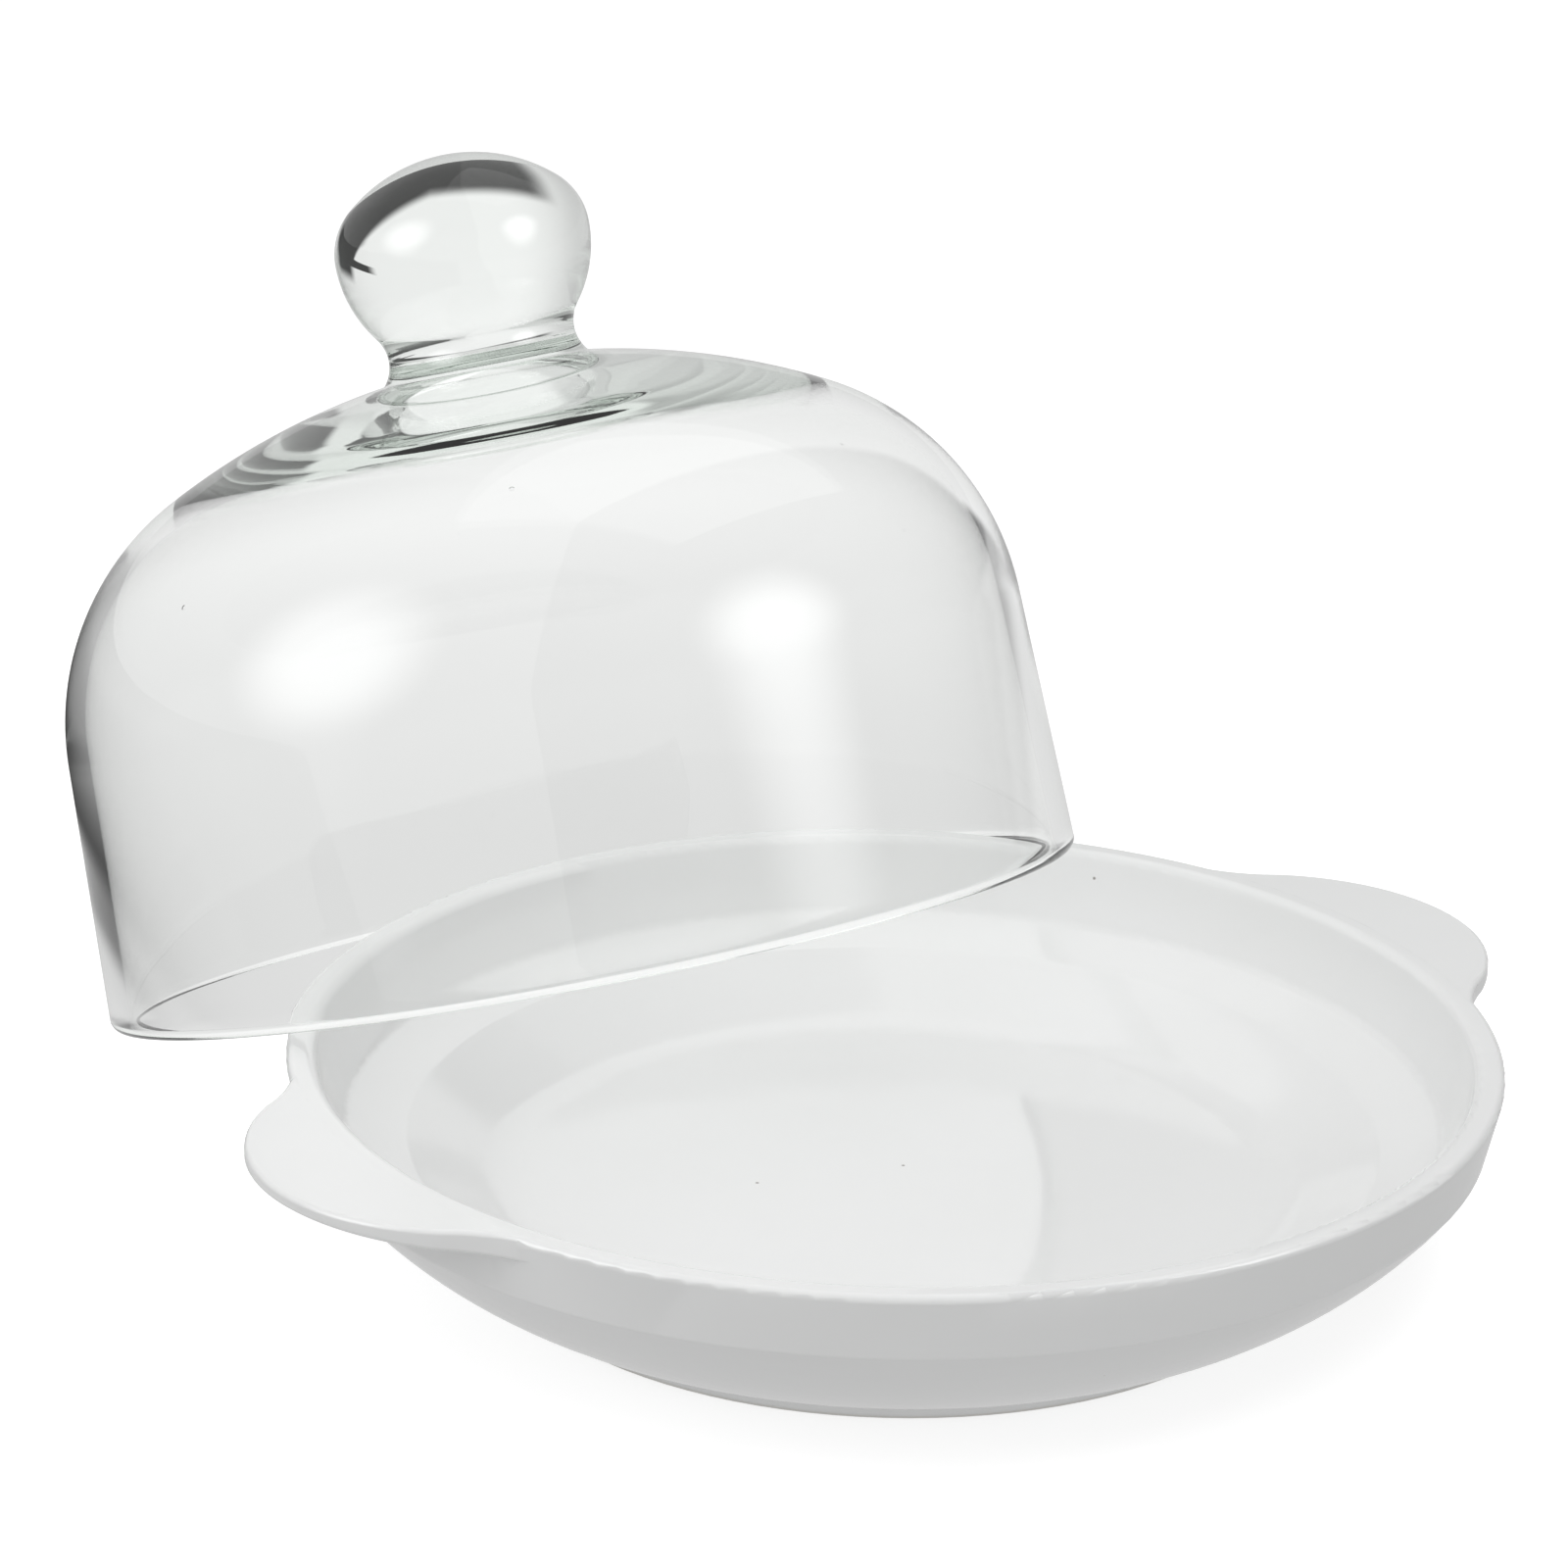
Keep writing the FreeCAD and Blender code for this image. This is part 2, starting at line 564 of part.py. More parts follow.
def main():
    """Build every piece, check it and write one STEP file for each."""
    doc = FreeCAD.newDocument("cheese_dome")
    sheet = make_sheet(doc)
    dim = {name: float(sheet.get(name)) for name in DRIVING_DIMENSIONS}
    dish = build_dish(doc, dim)
    bell = build_bell(doc, dim)
    knob = build_knob(doc, dim)
    bodies = [dish, bell, knob]
    for body in bodies:
        body.Label = body.Name
    doc.recompute()
    for body in (bell, knob):
        body.Placement = leaning_placement(dim)
    doc.recompute()
    check_document(doc, bodies)
    os.makedirs("parts", exist_ok=True)
    for body in bodies:
        body.Shape.exportStep(f"parts/{body.Label}.step")
        box = body.Shape.BoundBox
        print(f"{body.Label}: {body.Shape.Volume / 1000:.1f} cm3, "
              f"x {box.XMin:.1f} to {box.XMax:.1f}, y {box.YMin:.1f} to {box.YMax:.1f}, "
              f"z {box.ZMin:.2f} to {box.ZMax:.1f}")


main()
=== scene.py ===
"""Looks for a cheese dome: a glazed porcelain dish and a clear glass bell that leans on its lip.

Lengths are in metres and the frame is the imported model's: +Z up, the origin at the middle of the
dish's foot. The glass is drawn upright on its own axis and then leaned into place.
"""
import json
import logging
import math
from dataclasses import dataclass, field
from enum import Enum
from typing import Any

import bpy
from mathutils import Matrix, Vector

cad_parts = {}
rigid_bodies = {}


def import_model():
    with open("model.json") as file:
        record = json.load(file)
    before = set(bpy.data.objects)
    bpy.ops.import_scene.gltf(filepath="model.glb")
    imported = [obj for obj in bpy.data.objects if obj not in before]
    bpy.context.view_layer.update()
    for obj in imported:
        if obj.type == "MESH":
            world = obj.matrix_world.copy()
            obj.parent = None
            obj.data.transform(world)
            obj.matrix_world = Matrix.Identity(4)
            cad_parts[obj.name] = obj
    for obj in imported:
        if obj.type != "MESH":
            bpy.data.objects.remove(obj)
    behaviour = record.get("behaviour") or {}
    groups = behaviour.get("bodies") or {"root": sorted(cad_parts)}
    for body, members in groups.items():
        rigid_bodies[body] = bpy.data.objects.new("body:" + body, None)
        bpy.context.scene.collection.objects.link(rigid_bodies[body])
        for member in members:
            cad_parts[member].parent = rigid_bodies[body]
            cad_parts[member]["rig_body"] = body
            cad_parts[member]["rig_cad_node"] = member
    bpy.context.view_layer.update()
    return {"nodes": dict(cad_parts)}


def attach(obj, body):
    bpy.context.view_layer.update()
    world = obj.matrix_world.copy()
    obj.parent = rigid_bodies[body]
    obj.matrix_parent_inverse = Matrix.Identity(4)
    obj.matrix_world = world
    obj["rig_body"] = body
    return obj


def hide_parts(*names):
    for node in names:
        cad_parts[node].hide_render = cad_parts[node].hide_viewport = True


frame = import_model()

MM = 0.001
LOG = logging.getLogger("cheese_dome")

Point = tuple[float, float]
Colour = tuple[float, float, float]
Fade = tuple[float, float]


# ---------------------------------------------------------------- shader nodes

class Socket:
    """A shader value that takes part in sums, so that node maths reads like arithmetic."""

    def __init__(self, graph: "Graph", link: bpy.types.NodeSocket) -> None:
        """Keep the node socket and the graph it belongs to."""
        self.graph = graph
        self.link = link

    def _math(self, operation: str, *values: Any) -> "Socket":
        """Add one Math node.

        Args:
            operation: the Math node's operation.
            values: its inputs, each a number or a Socket.

        Returns:
            The node's result.
        """
        inputs = dict(enumerate(values))
        return self.graph.node("ShaderNodeMath", {"operation": operation}, inputs)

    def __add__(self, other: Any) -> "Socket":
        """Return this value plus another."""
        return self._math("ADD", self, other)

    def __radd__(self, other: Any) -> "Socket":
        """Return another value plus this."""
        return self._math("ADD", other, self)

    def __sub__(self, other: Any) -> "Socket":
        """Return this value minus another."""
        return self._math("SUBTRACT", self, other)

    def __rsub__(self, other: Any) -> "Socket":
        """Return another value minus this."""
        return self._math("SUBTRACT", other, self)

    def __mul__(self, other: Any) -> "Socket":
        """Return this value times another."""
        return self._math("MULTIPLY", self, other)

    def __rmul__(self, other: Any) -> "Socket":
        """Return another value times this."""
        return self._math("MULTIPLY", other, self)

    def highest(self, other: Any) -> "Socket":
        """Return the larger of this and another value."""
        return self._math("MAXIMUM", self, other)

    def over(self, edge: float) -> "Socket":
        """Return 1 where this is above an edge and 0 elsewhere."""
        return self._math("GREATER_THAN", self, edge)

    def ramp(self, low: float, high: float) -> "Socket":
        """Return 0 below low and 1 above high, with a smooth change between.

        Args:
            low: the value that gives 0.
            high: the value that gives 1; it may be below low, which turns the ramp round.

        Returns:
            The smoothed share.
        """
        settings = {"interpolation_type": "SMOOTHSTEP"}
        if low <= high:
            return self.graph.node("ShaderNodeMapRange", settings,
                                   {"Value": self, "From Min": low, "From Max": high})
        return self.graph.node("ShaderNodeMapRange", settings,
                               {"Value": self, "From Min": high, "From Max": low,
                                "To Min": 1.0, "To Max": 0.0})

    def faded(self, fade: Fade) -> "Socket":
        """Return the ramp between the two ends of a fade."""
        return self.ramp(*fade)

    def turned(self, fade: Fade) -> "Socket":
        """Return the ramp of a value in radians, between the ends of a fade in degrees."""
        return self.ramp(math.radians(fade[0]), math.radians(fade[1]))


class Graph:
    """The node tree of one material or of the world."""

    def __init__(self, tree: bpy.types.NodeTree) -> None:
        """Empty the tree so that only this script's nodes are in it."""
        self.tree = tree
        tree.nodes.clear()

    def node(self, kind: str, settings: dict[str, Any] | None = None,
             inputs: dict[Any, Any] | None = None, output: Any = 0) -> Socket:
        """Add one node.

        Args:
            kind: the node's type name.
            settings: properties that are set before the sockets, such as an operation.
            inputs: sockets by name or number, each with a value or a Socket.
            output: name or number of the output to return.

        Returns:
            The chosen output.
        """
        made = self.tree.nodes.new(kind)
        for name, value in (settings or {}).items():
            setattr(made, name, value)
        for key, value in (inputs or {}).items():
            if isinstance(value, Socket):
                self.tree.links.new(value.link, made.inputs[key])
            else:
                made.inputs[key].default_value = value
        return Socket(self, made.outputs[output])

    def place(self) -> Socket:
        """Return the point's place on the object, in metres."""
        return self.node("ShaderNodeTexCoord", output="Object")

    def axis(self, vector: Socket, name: str) -> Socket:
        """Return one coordinate of a vector."""
        return self.node("ShaderNodeSeparateXYZ", inputs={0: vector}, output=name)

    def noise(self, vector: Socket, scale: float, detail: float = 2.0,
              roughness: float = 0.5) -> Socket:
        """Return soft noise from 0 to 1.

        Args:
            vector: where to read it.
            scale: features to the metre.
            detail: octaves of finer noise.
            roughness: how strong the finer noise is.

        Returns:
            The noise value.
        """
        return self.node("ShaderNodeTexNoise", {"noise_dimensions": "3D"},
                         {"Vector": vector, "Scale": scale, "Detail": detail,
                          "Roughness": roughness}, "Fac")

    def specks(self, vector: Socket, scale: float, size: float, share: float) -> Socket:
        """Return small round spots scattered thinly.

        Args:
            vector: where to read them.
            scale: cells to the metre; at most one spot lies in each.
            size: radius of a spot, as a share of its cell.
            share: how many of the cells have one, from 0 to 1.

        Returns:
            1 in a spot and 0 elsewhere.
        """
        cell = {"Vector": vector, "Scale": scale}
        distance = self.node("ShaderNodeTexVoronoi", {"feature": "F1"}, cell, "Distance")
        colour = self.node("ShaderNodeTexVoronoi", {"feature": "F1"}, cell, "Color")
        pick = self.node("ShaderNodeSeparateColor", inputs={0: colour}, output=0)
        return distance.ramp(size, size * 0.5) * pick.over(1.0 - share)

    def blend(self, share: Socket | float, low: Any, high: Any) -> Socket:
        """Return a colour between two colours.

        Args:
            share: 0 for the first colour and 1 for the second.
            low: the first colour, as three numbers or a Socket.
            high: the second.

        Returns:
            The blended colour.
        """
        inputs = {0: share}
        for key, value in ((6, low), (7, high)):
            inputs[key] = value if isinstance(value, Socket) else (*value, 1.0)
        return self.node("ShaderNodeMix", {"data_type": "RGBA"}, inputs, 2)

    def bump(self, height: Socket, depth: float) -> Socket:
        """Return the surface normal tipped by a height.

        Args:
            height: 0 to 1 over the surface.
            depth: what a height of 1 stands for, in metres.

        Returns:
            The normal.
        """
        return self.node("ShaderNodeBump", inputs={"Height": height, "Distance": depth,
                                                   "Strength": 1.0}, output="Normal")

    def principled(self, inputs: dict[str, Any]) -> Socket:
        """Add the main surface shader and return it."""
        return self.node("ShaderNodeBsdfPrincipled", inputs=inputs)

    def glow(self, strength: Socket | float) -> Socket:
        """Add a white light-giving shader and return it."""
        return self.node("ShaderNodeEmission", inputs={"Strength": strength})

    def choose(self, share: Socket, first: Socket, second: Socket) -> Socket:
        """Return a shader between two shaders.

        Args:
            share: 0 for the first shader and 1 for the second.
            first: the first shader.
            second: the second.

        Returns:
            The mixed shader.
        """
        return self.node("ShaderNodeMixShader", inputs={0: share, 1: first, 2: second})

    def finish(self, surface: Socket, volume: Socket | None = None) -> None:
        """Join the finished shaders to the output.

        Args:
            surface: the surface shader.
            volume: what fills the piece, if anything does.
        """
        kind = "ShaderNodeOutputWorld" if isinstance(self.tree.id_data, bpy.types.World) \
            else "ShaderNodeOutputMaterial"
        inputs = {"Surface": surface}
        if volume is not None:
            inputs["Volume"] = volume
        made = self.tree.nodes.new(kind)
        for key, value in inputs.items():
            self.tree.links.new(value.link, made.inputs[key])


def grey(level: float) -> Colour:
    """Return a plain grey."""
    return level, level, level


def new_material(name: str) -> tuple[bpy.types.Material, Graph]:
    """Add an empty node material.

    Args:
        name: the material's name.

    Returns:
        The material and its graph.
    """
    material = bpy.data.materials.new(name)
    material.use_nodes = True
    return material, Graph(material.node_tree)


# ---------------------------------------------------------------- finishes

@dataclass(frozen=True)
class Glaze:
    """Glossy white porcelain, with a bare foot."""

    body: Colour = (0.83, 0.835, 0.835)
    shade: Colour = (0.80, 0.805, 0.80)
    bare: Colour = (0.70, 0.69, 0.66)
    speck: Colour = (0.16, 0.14, 0.12)
    gloss: float = 0.07
    film: float = 0.03
    bare_roughness: float = 0.75
    bare_height: Fade = (0.7 * MM, 0.35 * MM)
    index: float = 1.5
    relief: float = 0.12 * MM
    pull: float = 0.01
    speck_relief: float = 0.05
    speck_strength: float = 0.8
    speck_size: float = 0.10
    speck_share: float = 0.02
    cloud_scale: float = 22.0
    ripple_scale: float = 55.0
    film_scale: float = 160.0
    speck_scale: float = 220.0
    pull_scale: float = 900.0

    def make(self, name: str) -> bpy.types.Material:
        """Make the material.

        Args:
            name: the material's name.

        Returns:
            The finished material.
        """
        material, graph = new_material(name)
        place = graph.place()
        bare = graph.axis(place, "Z").faded(self.bare_height)
        cloud = graph.noise(place, self.cloud_scale, detail=3.0)
        colour = graph.blend(cloud, self.body, self.shade)
        spots = graph.specks(place, self.speck_scale, self.speck_size, self.speck_share)
        colour = graph.blend(spots * self.speck_strength, colour, self.speck)
        colour = graph.blend(bare, colour, self.bare)
        film = graph.noise(place, self.film_scale)
        roughness = self.gloss + film * self.film + bare * (self.bare_roughness - self.gloss)
        ripple = graph.noise(place, self.ripple_scale, detail=1.0)
        pull = graph.noise(place, self.pull_scale)
        normal = graph.bump(ripple + pull * self.pull + spots * self.speck_relief, self.relief)
        graph.finish(graph.principled({
            "Base Color": colour, "Roughness": roughness, "Normal": normal,
            "IOR": self.index}))
        return material


@dataclass(frozen=True)
class ClearGlass:
    """Polished blown glass with a trace of green where it is thick.

    Shadow rays and scattered rays pass it as through a plain clear sheet, so that it lights what
    stands under it as thin glass does.
    """

    tint: Colour = (0.995, 0.998, 0.995)
    sheet: Colour = (0.985, 0.987, 0.985)
    absorb: Colour = (0.55, 0.72, 0.58)
    density: float = 2.5
    index: float = 1.5
    haze: float = 0.02
    haze_fade: Fade = (0.62, 0.85)
    relief: float = 0.25 * MM
    seed_relief: float = 0.25
    seed_size: float = 0.05
    seed_share: float = 0.10
    swell_scale: float = 16.0
    haze_scale: float = 70.0
    seed_scale: float = 90.0

    def make(self, name: str) -> bpy.types.Material:
        """Make the material.

        Args:
            name: the material's name.

        Returns:
            The finished material.
        """
        material, graph = new_material(name)
        place = graph.place()
        swell = graph.noise(place, self.swell_scale, detail=1.0)
        seeds = graph.specks(place, self.seed_scale, self.seed_size, self.seed_share)
        normal = graph.bump(swell + seeds * self.seed_relief, self.relief)
        haze = graph.noise(place, self.haze_scale, detail=3.0)
        roughness = haze.faded(self.haze_fade) * self.haze
        glass = graph.principled({
            "Base Color": (*self.tint, 1.0), "Roughness": roughness, "Normal": normal,
            "IOR": self.index, "Transmission Weight": 1.0})
        sheet = graph.node("ShaderNodeBsdfTransparent", inputs={"Color": (*self.sheet, 1.0)})
        shadow = graph.node("ShaderNodeLightPath", output="Is Shadow Ray")
        scattered = graph.node("ShaderNodeLightPath", output="Is Diffuse Ray")
        surface = graph.choose(shadow.highest(scattered), glass, sheet)
        volume = graph.node("ShaderNodeVolumeAbsorption",
                            inputs={"Color": (*self.absorb, 1.0), "Density": self.density})
        graph.finish(surface, volume)
        return material


# ---------------------------------------------------------------- modelling

def start_clean() -> None:
    """Leave edit mode and deselect everything, so an operator acts only on what is added next."""
    if bpy.context.object is not None and bpy.context.object.mode != "OBJECT":
        bpy.ops.object.mode_set(mode="OBJECT")
    bpy.ops.object.select_all(action="DESELECT")


def polar(centre: Point, radius: float, degrees: float) -> Point:
    """Return the point at an angle on a circle."""
    turn = math.radians(degrees)
    return centre[0] + radius * math.cos(turn), centre[1] + radius * math.sin(turn)


class LathePen:
    """Draws half of a turned shape's outline beside the upright axis, then turns it right round."""

    WELD = 0.01 * MM

    def __init__(self, name: str, start: Point) -> None:
        """Put the pen down.

        Args:
            name: name of the piece.
            start: first point of the outline, as radius and height.
        """
        start_clean()
        bpy.ops.mesh.primitive_plane_add(size=MM, location=(0, 0, 0))
        self.piece = bpy.context.object
        self.piece.name = name
        bpy.ops.object.mode_set(mode="EDIT")
        bpy.ops.mesh.select_mode(type="VERT")
        bpy.ops.mesh.select_all(action="SELECT")
        bpy.ops.mesh.merge(type="CENTER")
        bpy.ops.transform.translate(value=(start[0], 0, start[1]))
        self.at = start

    def line(self, end: Point, steps: int = 1) -> None:
        """Draw a straight run to a point.

        Args:
            end: where the run ends, as radius and height.
            steps: how many edges it has.
        """
        move = ((end[0] - self.at[0]) / steps, 0, (end[1] - self.at[1]) / steps)
        for _ in range(steps):
            bpy.ops.mesh.extrude_region_move(TRANSFORM_OT_translate={"value": move})
        self.at = end

    def arc(self, centre: Point, degrees: float, steps: int) -> None:
        """Draw an arc from where the pen is.

        Args:
            centre: the arc's centre, as radius and height.
            degrees: how far it turns; positive runs from outwards to upwards.
            steps: how many edges it has.
        """
        bpy.ops.mesh.spin(steps=steps, angle=math.radians(degrees),
                          center=(centre[0], 0, centre[1]), axis=(0, 1, 0))
        start_turn = math.atan2(self.at[1] - centre[1], self.at[0] - centre[0])
        self.at = polar(centre, math.dist(self.at, centre), math.degrees(start_turn) + degrees)

    def turn(self, steps: int) -> bpy.types.Object:
        """Turn the outline right round and close it.

        Args:
            steps: how many sections the turned shape has.

        Returns:
            The finished piece, smooth all over.
        """
        bpy.ops.mesh.select_all(action="SELECT")
        bpy.ops.mesh.spin(steps=steps, angle=math.tau, center=(0, 0, 0), axis=(0, 0, 1))
        bpy.ops.mesh.select_all(action="SELECT")
        bpy.ops.mesh.remove_doubles(threshold=self.WELD)
        bpy.ops.mesh.normals_make_consistent(inside=False)
        bpy.ops.object.mode_set(mode="OBJECT")
        bpy.ops.object.shade_smooth()
        return self.piece


@dataclass
class GlassDome:
    """The bell and its knob, one continuous piece of glass."""

    bell_radius: float = 95.0 * MM
    bell_height: float = 113.0 * MM
    wall: float = 4.0 * MM
    draft: float = 2.0
    shoulder: float = 54.0 * MM
    crown: float = 139.5 * MM
    crown_thickness: float = 11.0 * MM
    inner_shoulder: float = 48.0 * MM
    inner_crown: float = 340.0 * MM
    knob_radius: float = 24.8 * MM
    knob_height: float = 135.8 * MM
    knob_top: float = 31.0 * MM
    knob_cheek: float = 13.0 * MM
    neck_radius: float = 18.2 * MM
    neck_curve: float = 7.3 * MM
    lean: float = 19.0
    lean_direction: float = 95.0
    reach: float = 92.5 * MM
    gap: float = 0.3 * MM
    sections: int = 256
    knob_steps: int = 16
    shoulder_steps: int = 32
    wall_steps: int = 24
    bead_steps: int = 14
    finish: ClearGlass = field(default_factory=ClearGlass)
    piece: bpy.types.Object | None = None

    def _shoulder_centre(self, foot: Point, shoulder: float, crown: float, apex: float) -> Point:
        """Find the centre of the arc that joins the wall to the crown.

        Args:
            foot: where the wall starts.
            shoulder: radius of the arc.
            crown: radius of the crown, whose centre is on the axis.
            apex: height of the crown's top.

        Returns:
            The centre, as radius and height.
        """
        turn = math.radians(self.draft)
        x = foot[0] - shoulder * math.cos(turn)
        y = foot[1] - shoulder * math.sin(turn) - (apex - crown)
        along = (-math.sin(turn), math.cos(turn))
        half = x * along[0] + y * along[1]
        run = -half + math.sqrt(half ** 2 - (x * x + y * y - (crown - shoulder) ** 2))
        return x + run * along[0], y + run * along[1] + (apex - crown)

    def _draw_knob(self, crown_centre: float) -> tuple[LathePen, float]:
        """Draw the knob from its top down to the crown.

        Args:
            crown_centre: height of the crown's centre of curvature.

        Returns:
            The pen, and the angle at which it meets the crown.
        """
        ball, cheek, top = self.knob_radius, self.knob_cheek, self.knob_top
        middle, neck = self.knob_height, self.neck_curve
        cheek_x = ball - cheek
        top_y = middle - math.sqrt((top - cheek) ** 2 - cheek_x ** 2)
        top_turn = math.degrees(math.atan2(middle - top_y, cheek_x))
        neck_x = self.neck_radius + neck
        neck_y = middle - math.sqrt((ball + neck) ** 2 - neck_x ** 2)
        neck_turn = math.degrees(math.atan2(middle - neck_y, neck_x))
        to_neck = math.hypot(neck_x, neck_y - crown_centre)
        swing = math.acos((to_neck ** 2 + self.crown ** 2 - neck ** 2)
                          / (2 * to_neck * self.crown))
        meet = math.degrees(math.atan2(neck_y - crown_centre, neck_x) + swing)
        foot = polar((0, crown_centre), self.crown, meet)
        foot_turn = math.degrees(math.atan2(foot[1] - neck_y, foot[0] - neck_x)) % 360

        pen = LathePen("glass_dome", (0, top_y + top))
        pen.arc((0, top_y), top_turn - 90, self.knob_steps)
        pen.arc((cheek_x, middle), -top_turn, self.knob_steps)
        pen.arc((0, middle), -neck_turn, self.knob_steps)
        pen.arc((neck_x, neck_y), foot_turn - (180 - neck_turn), self.knob_steps)
        return pen, meet

    def build(self) -> None:
        """Model the glass and lean it across the dish's lip."""
        bead = (self.bell_radius - self.wall / 2, self.wall / 2)
        out_centre = self.bell_height - self.crown
        in_apex = self.bell_height - self.crown_thickness
        in_centre = in_apex - self.inner_crown
        foot = polar(bead, self.wall / 2, self.draft)
        in_foot = polar(bead, self.wall / 2, 180 + self.draft)
        out_mid = self._shoulder_centre(foot, self.shoulder, self.crown, self.bell_height)
        in_mid = self._shoulder_centre(in_foot, self.inner_shoulder, self.inner_crown, in_apex)
        out_turn = math.degrees(math.atan2(out_mid[1] - out_centre, out_mid[0]))
        in_turn = math.degrees(math.atan2(in_mid[1] - in_centre, in_mid[0]))

        pen, meet = self._draw_knob(out_centre)
        pen.arc((0, out_centre), out_turn - meet, self.knob_steps)
        pen.arc(out_mid, self.draft - out_turn, self.shoulder_steps)
        pen.line(foot, self.wall_steps)
        pen.arc(bead, -180, self.bead_steps)
        pen.line(polar(in_mid, self.inner_shoulder, self.draft), self.wall_steps)
        pen.arc(in_mid, in_turn - self.draft, self.shoulder_steps)
        pen.arc((0, in_centre), 90 - in_turn, self.wall_steps)
        self.piece = pen.turn(self.sections)
        self._lean()

    def _lean(self) -> None:
        """Tip the upright glass over and stand it at its reach."""
        tilt, way = math.radians(self.lean), math.radians(self.lean_direction)
        bead = self.wall / 2
        rise = (self.bell_radius - bead) * math.sin(tilt) - bead * math.cos(tilt)
        height = self.gap + bead + rise
        hinge = Vector((-math.sin(way), math.cos(way), 0))
        spot = Vector((self.reach * math.cos(way), self.reach * math.sin(way), height))
        self.piece.matrix_world = Matrix.Translation(spot) @ Matrix.Rotation(tilt, 4, hinge)
        start_clean()
        self.piece.select_set(True)
        bpy.context.view_layer.objects.active = self.piece
        bpy.ops.object.transform_apply(location=True, rotation=True, scale=True)

    def dress(self) -> None:
        """Give the glass its finish and its place in the model."""
        self.piece.data.materials.clear()
        self.piece.data.materials.append(self.finish.make("clear_glass"))
        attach(self.piece, "dome")
        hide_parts("glass_bell", "glass_knob")


@dataclass
class PorcelainDish:
    """The dish: bowl, foot ring and lug handles in one casting."""

    crease: float = 68.0
    weld: float = 0.001 * MM
    finish: Glaze = field(default_factory=Glaze)
    piece: bpy.types.Object | None = None

    def build(self) -> None:
        """Copy the dish's solid and join its loose triangles into one smooth skin."""
        start_clean()
        source = frame["nodes"]["porcelain_dish"]
        piece = source.copy()
        piece.data = source.data.copy()
        piece.name = "dish_glazed"
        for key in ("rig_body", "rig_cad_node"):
            if key in piece:
                del piece[key]
        piece.parent = None
        bpy.context.scene.collection.objects.link(piece)
        piece.select_set(True)
        bpy.context.view_layer.objects.active = piece
        bpy.ops.object.mode_set(mode="EDIT")
        bpy.ops.mesh.select_all(action="SELECT")
        bpy.ops.mesh.remove_doubles(threshold=self.weld)
        bpy.ops.object.mode_set(mode="OBJECT")
        bpy.ops.object.shade_smooth_by_angle(angle=math.radians(self.crease))
        piece.modifiers.new("even_shading", "WEIGHTED_NORMAL").keep_sharp = True
        bpy.ops.object.modifier_apply(modifier="even_shading")
        self.piece = piece

    def dress(self) -> None:
        """Give the dish its glaze and its place in the model."""
        self.piece.data.materials.clear()
        self.piece.data.materials.append(self.finish.make("porcelain_glaze"))
        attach(self.piece, "dish")
        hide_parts("porcelain_dish")


# ---------------------------------------------------------------- studio

class LampUse(Enum):
    """What a soft lamp is for."""

    HIGHLIGHT = "it shows as a highlight"
    FILL = "it only adds light"


@dataclass(frozen=True)
class SoftLamp:
    """A soft studio lamp that points at the dish."""

    name: str
    azimuth: float
    elevation: float
    distance: float
    width: float
    height: float
    power: float
    use: LampUse = LampUse.HIGHLIGHT

    def hang(self, target: Vector, front: float) -> None:
        """Add the lamp, facing the target.

        Args:
            target: the point that it lights.
            front: the azimuth that the lamp's own is added to.
        """
        data = bpy.data.lights.new(self.name, "AREA")
        data.shape = "RECTANGLE"
        data.size = self.width
        data.size_y = self.height
        data.energy = self.power
        lamp = bpy.data.objects.new(self.name, data)
        lamp.location = target + around(front + self.azimuth, self.elevation) * self.distance
        lamp.rotation_euler = (target - lamp.location).to_track_quat("-Z", "Y").to_euler()
        lamp.visible_camera = False
        lamp.visible_glossy = self.use is LampUse.HIGHLIGHT
        lamp.visible_transmission = self.use is LampUse.HIGHLIGHT
        bpy.context.scene.collection.objects.link(lamp)


@dataclass(frozen=True)
class GlowCard:
    """A card that glows softly from its middle and shows only as a highlight."""

    name: str
    azimuth: float
    elevation: float
    distance: float
    width: float
    height: float
    strength: float
    fade: Fade = (1.0, 0.2)
    cuts: int = 4

    def stand(self, target: Vector, front: float) -> None:
        """Add the card, facing the target.

        Args:
            target: the point that it faces.
            front: the azimuth that the card's own is added to.
        """
        start_clean()
        bpy.ops.mesh.primitive_grid_add(x_subdivisions=self.cuts, y_subdivisions=self.cuts,
                                        size=1.0)
        card = bpy.context.object
        card.name = self.name
        spot = target + around(front + self.azimuth, self.elevation) * self.distance
        facing = (target - spot).to_track_quat("Z", "Y").to_matrix().to_4x4()
        size = Matrix.Diagonal((self.width, self.height, 1.0, 1.0))
        card.matrix_world = Matrix.Translation(spot) @ facing @ size
        material, graph = new_material(self.name + "_glow")
        place = graph.place()
        x, y = graph.axis(place, "X") * 2.0, graph.axis(place, "Y") * 2.0
        spread = graph.node("ShaderNodeMath", {"operation": "SQRT"}, {0: x * x + y * y})
        glow = graph.glow(spread.faded(self.fade) * self.strength)
        clear = graph.node("ShaderNodeBsdfTransparent")
        graph.finish(graph.node("ShaderNodeAddShader", inputs={0: glow, 1: clear}))
        card.data.materials.append(material)
        card.visible_camera = False
        card.visible_diffuse = False
        card.visible_transmission = False
        card.visible_shadow = False


def around(azimuth: float, elevation: float) -> Vector:
    """Find a direction.

    Args:
        azimuth: degrees round the upright axis, from -Y towards +X.
        elevation: degrees above the horizon.

    Returns:
        The unit vector that points that way.
    """
    turn, rise = math.radians(azimuth), math.radians(elevation)
    level = math.cos(rise)
    return Vector((math.sin(turn) * level, -math.cos(turn) * level, math.sin(rise)))


